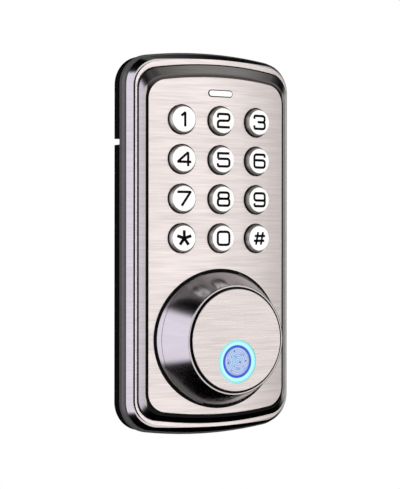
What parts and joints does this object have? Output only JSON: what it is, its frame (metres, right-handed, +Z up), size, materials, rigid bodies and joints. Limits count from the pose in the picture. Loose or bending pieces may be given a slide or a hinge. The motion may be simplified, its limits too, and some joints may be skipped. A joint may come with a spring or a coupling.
{
  "type": "keypad smart lock",
  "caption": "Outer unit of a keypad door lock with round push keys, a turning knob with a touch sensor, an inner clutch and a tailpiece for the bolt.",
  "frame": {"origin": "on the knob's axis, at the face that lies on the door", "axes": "+Z up, -Y towards the person outside, +Y into the door, +X to the right as the front is seen"},
  "size_m": [0.0748, 0.0896, 0.151],
  "materials": {
    "polished_dark_metal": "polished dark nickel",
    "brushed_nickel": "horizontal brushing",
    "grey_cover": "satin grey",
    "black_rubber": "matte",
    "black_plastic": "gloss black",
    "white_lens": "diffusing white",
    "key_metal": "satin metal key cap",
    "silicone": "grey silicone",
    "circuit_board": "green solder mask",
    "steel": "zinc plated",
    "brass": "machined",
    "acetal": "white acetal",
    "cyan_light": "lit light guide",
    "blue_ring": "blue bezel",
    "sensor_glass": "coated sensor face",
    "motor_can": "drawn can"
  },
  "bodies": {
    "lock_body": {"board_screws": "steel", "buzzer": "black_plastic", "clutch_frame": "acetal", "clutch_motor": "motor_can", "collar_seal": "black_rubber", "door_gasket": "black_rubber", "face_plate": "brushed_nickel", "frame_screws": "steel", "front_housing": "polished_dark_metal", "guide_pins": "steel", "harness_socket": "acetal", "housing_seal": "black_rubber", "key_mat": "silicone", "keypad_board": "circuit_board", "knob_bush": "brass", "knob_collar": "polished_dark_metal", "mounting_posts": "steel", "rear_cover": "grey_cover", "rear_screws": "steel", "spindle_o_ring": "black_rubber", "status_led": "white_lens", "status_window": "white_lens", "wire_grommet": "black_rubber"},
    "knob": {"knob_shell": "polished_dark_metal", "knob_face": "brushed_nickel", "sensor_ring": "cyan_light", "sensor_bezel": "blue_ring", "fingerprint_sensor": "sensor_glass", "sensor_board": "circuit_board", "knob_spindle": "steel", "knob_screws": "steel", "knob_retaining_ring": "steel"},
    "tailpiece": {"tailpiece": "steel", "tailpiece_clip": "steel"},
    "clutch_collar": {"clutch_collar": "steel"},
    "clutch_fork": {"clutch_fork": "steel"},
    "clutch_nut": {"clutch_nut": "brass"},
    "lead_screw": {"lead_screw": "steel"},
    "key_star": {"key_star": "key_metal"},
    "key_0": {"key_0": "key_metal"},
    "key_hash": {"key_hash": "key_metal"},
    "key_7": {"key_7": "key_metal"},
    "key_8": {"key_8": "key_metal"},
    "key_9": {"key_9": "key_metal"},
    "key_4": {"key_4": "key_metal"},
    "key_5": {"key_5": "key_metal"},
    "key_6": {"key_6": "key_metal"},
    "key_1": {"key_1": "key_metal"},
    "key_2": {"key_2": "key_metal"},
    "key_3": {"key_3": "key_metal"}
  },
  "joints": [
    {"name": "key_star_press", "type": "slide", "parent": "lock_body", "child": "key_star", "axis": [0.1019, 0.9948, 0], "range_m": [0, 0.0012], "stiffness_N_per_m": 600, "springref_m": -0.0006},
    {"name": "key_0_press", "type": "slide", "parent": "lock_body", "child": "key_0", "axis": [0, 1, 0], "range_m": [0, 0.0012], "stiffness_N_per_m": 600, "springref_m": -0.0006},
    {"name": "key_hash_press", "type": "slide", "parent": "lock_body", "child": "key_hash", "axis": [-0.1019, 0.9948, 0], "range_m": [0, 0.0012], "stiffness_N_per_m": 600, "springref_m": -0.0006},
    {"name": "key_7_press", "type": "slide", "parent": "lock_body", "child": "key_7", "axis": [0.1019, 0.9948, 0], "range_m": [0, 0.0012], "stiffness_N_per_m": 600, "springref_m": -0.0006},
    {"name": "key_8_press", "type": "slide", "parent": "lock_body", "child": "key_8", "axis": [0, 1, 0], "range_m": [0, 0.0012], "stiffness_N_per_m": 600, "springref_m": -0.0006},
    {"name": "key_9_press", "type": "slide", "parent": "lock_body", "child": "key_9", "axis": [-0.1019, 0.9948, 0], "range_m": [0, 0.0012], "stiffness_N_per_m": 600, "springref_m": -0.0006},
    {"name": "key_4_press", "type": "slide", "parent": "lock_body", "child": "key_4", "axis": [0.1019, 0.9948, 0], "range_m": [0, 0.0012], "stiffness_N_per_m": 600, "springref_m": -0.0006},
    {"name": "key_5_press", "type": "slide", "parent": "lock_body", "child": "key_5", "axis": [0, 1, 0], "range_m": [0, 0.0012], "stiffness_N_per_m": 600, "springref_m": -0.0006},
    {"name": "key_6_press", "type": "slide", "parent": "lock_body", "child": "key_6", "axis": [-0.1019, 0.9948, 0], "range_m": [0, 0.0012], "stiffness_N_per_m": 600, "springref_m": -0.0006},
    {"name": "key_1_press", "type": "slide", "parent": "lock_body", "child": "key_1", "axis": [0.1019, 0.9948, 0], "range_m": [0, 0.0012], "stiffness_N_per_m": 600, "springref_m": -0.0006},
    {"name": "key_2_press", "type": "slide", "parent": "lock_body", "child": "key_2", "axis": [0, 1, 0], "range_m": [0, 0.0012], "stiffness_N_per_m": 600, "springref_m": -0.0006},
    {"name": "key_3_press", "type": "slide", "parent": "lock_body", "child": "key_3", "axis": [-0.1019, 0.9948, 0], "range_m": [0, 0.0012], "stiffness_N_per_m": 600, "springref_m": -0.0006},
    {"name": "knob_turn", "type": "hinge", "parent": "lock_body", "child": "knob", "pos_m": [0, 0, 0], "axis": [0, 1, 0], "range_deg": [-90, 90]},
    {"name": "tailpiece_turn", "type": "hinge", "parent": "lock_body", "child": "tailpiece", "pos_m": [0, 0, 0], "axis": [0, 1, 0], "range_deg": [-90, 90]},
    {"name": "clutch_collar_slide", "type": "slide", "parent": "tailpiece", "child": "clutch_collar", "axis": [0, 1, 0], "range_m": [0, 0.002]},
    {"name": "lead_screw_turn", "type": "hinge", "parent": "lock_body", "child": "lead_screw", "pos_m": [0, -0.0106, 0.02], "axis": [1, 0, 0], "range_deg": [0, 720]},
    {"name": "clutch_nut_slide", "type": "slide", "parent": "lock_body", "child": "clutch_nut", "axis": [1, 0, 0], "range_m": [0, 0.004]},
    {"name": "clutch_fork_slide", "type": "slide", "parent": "lock_body", "child": "clutch_fork", "axis": [0, 1, 0], "range_m": [0, 0.002]}
  ],
  "couplings": [
    {"joint": "tailpiece_turn", "follows": "knob_turn", "ratio": 1},
    {"joint": "lead_screw_turn", "follows": "clutch_nut_slide", "rad_per_m": 3141.6},
    {"joint": "clutch_fork_slide", "follows": "clutch_nut_slide", "ratio": 0.5},
    {"joint": "clutch_collar_slide", "follows": "clutch_nut_slide", "ratio": 0.5}
  ]
}
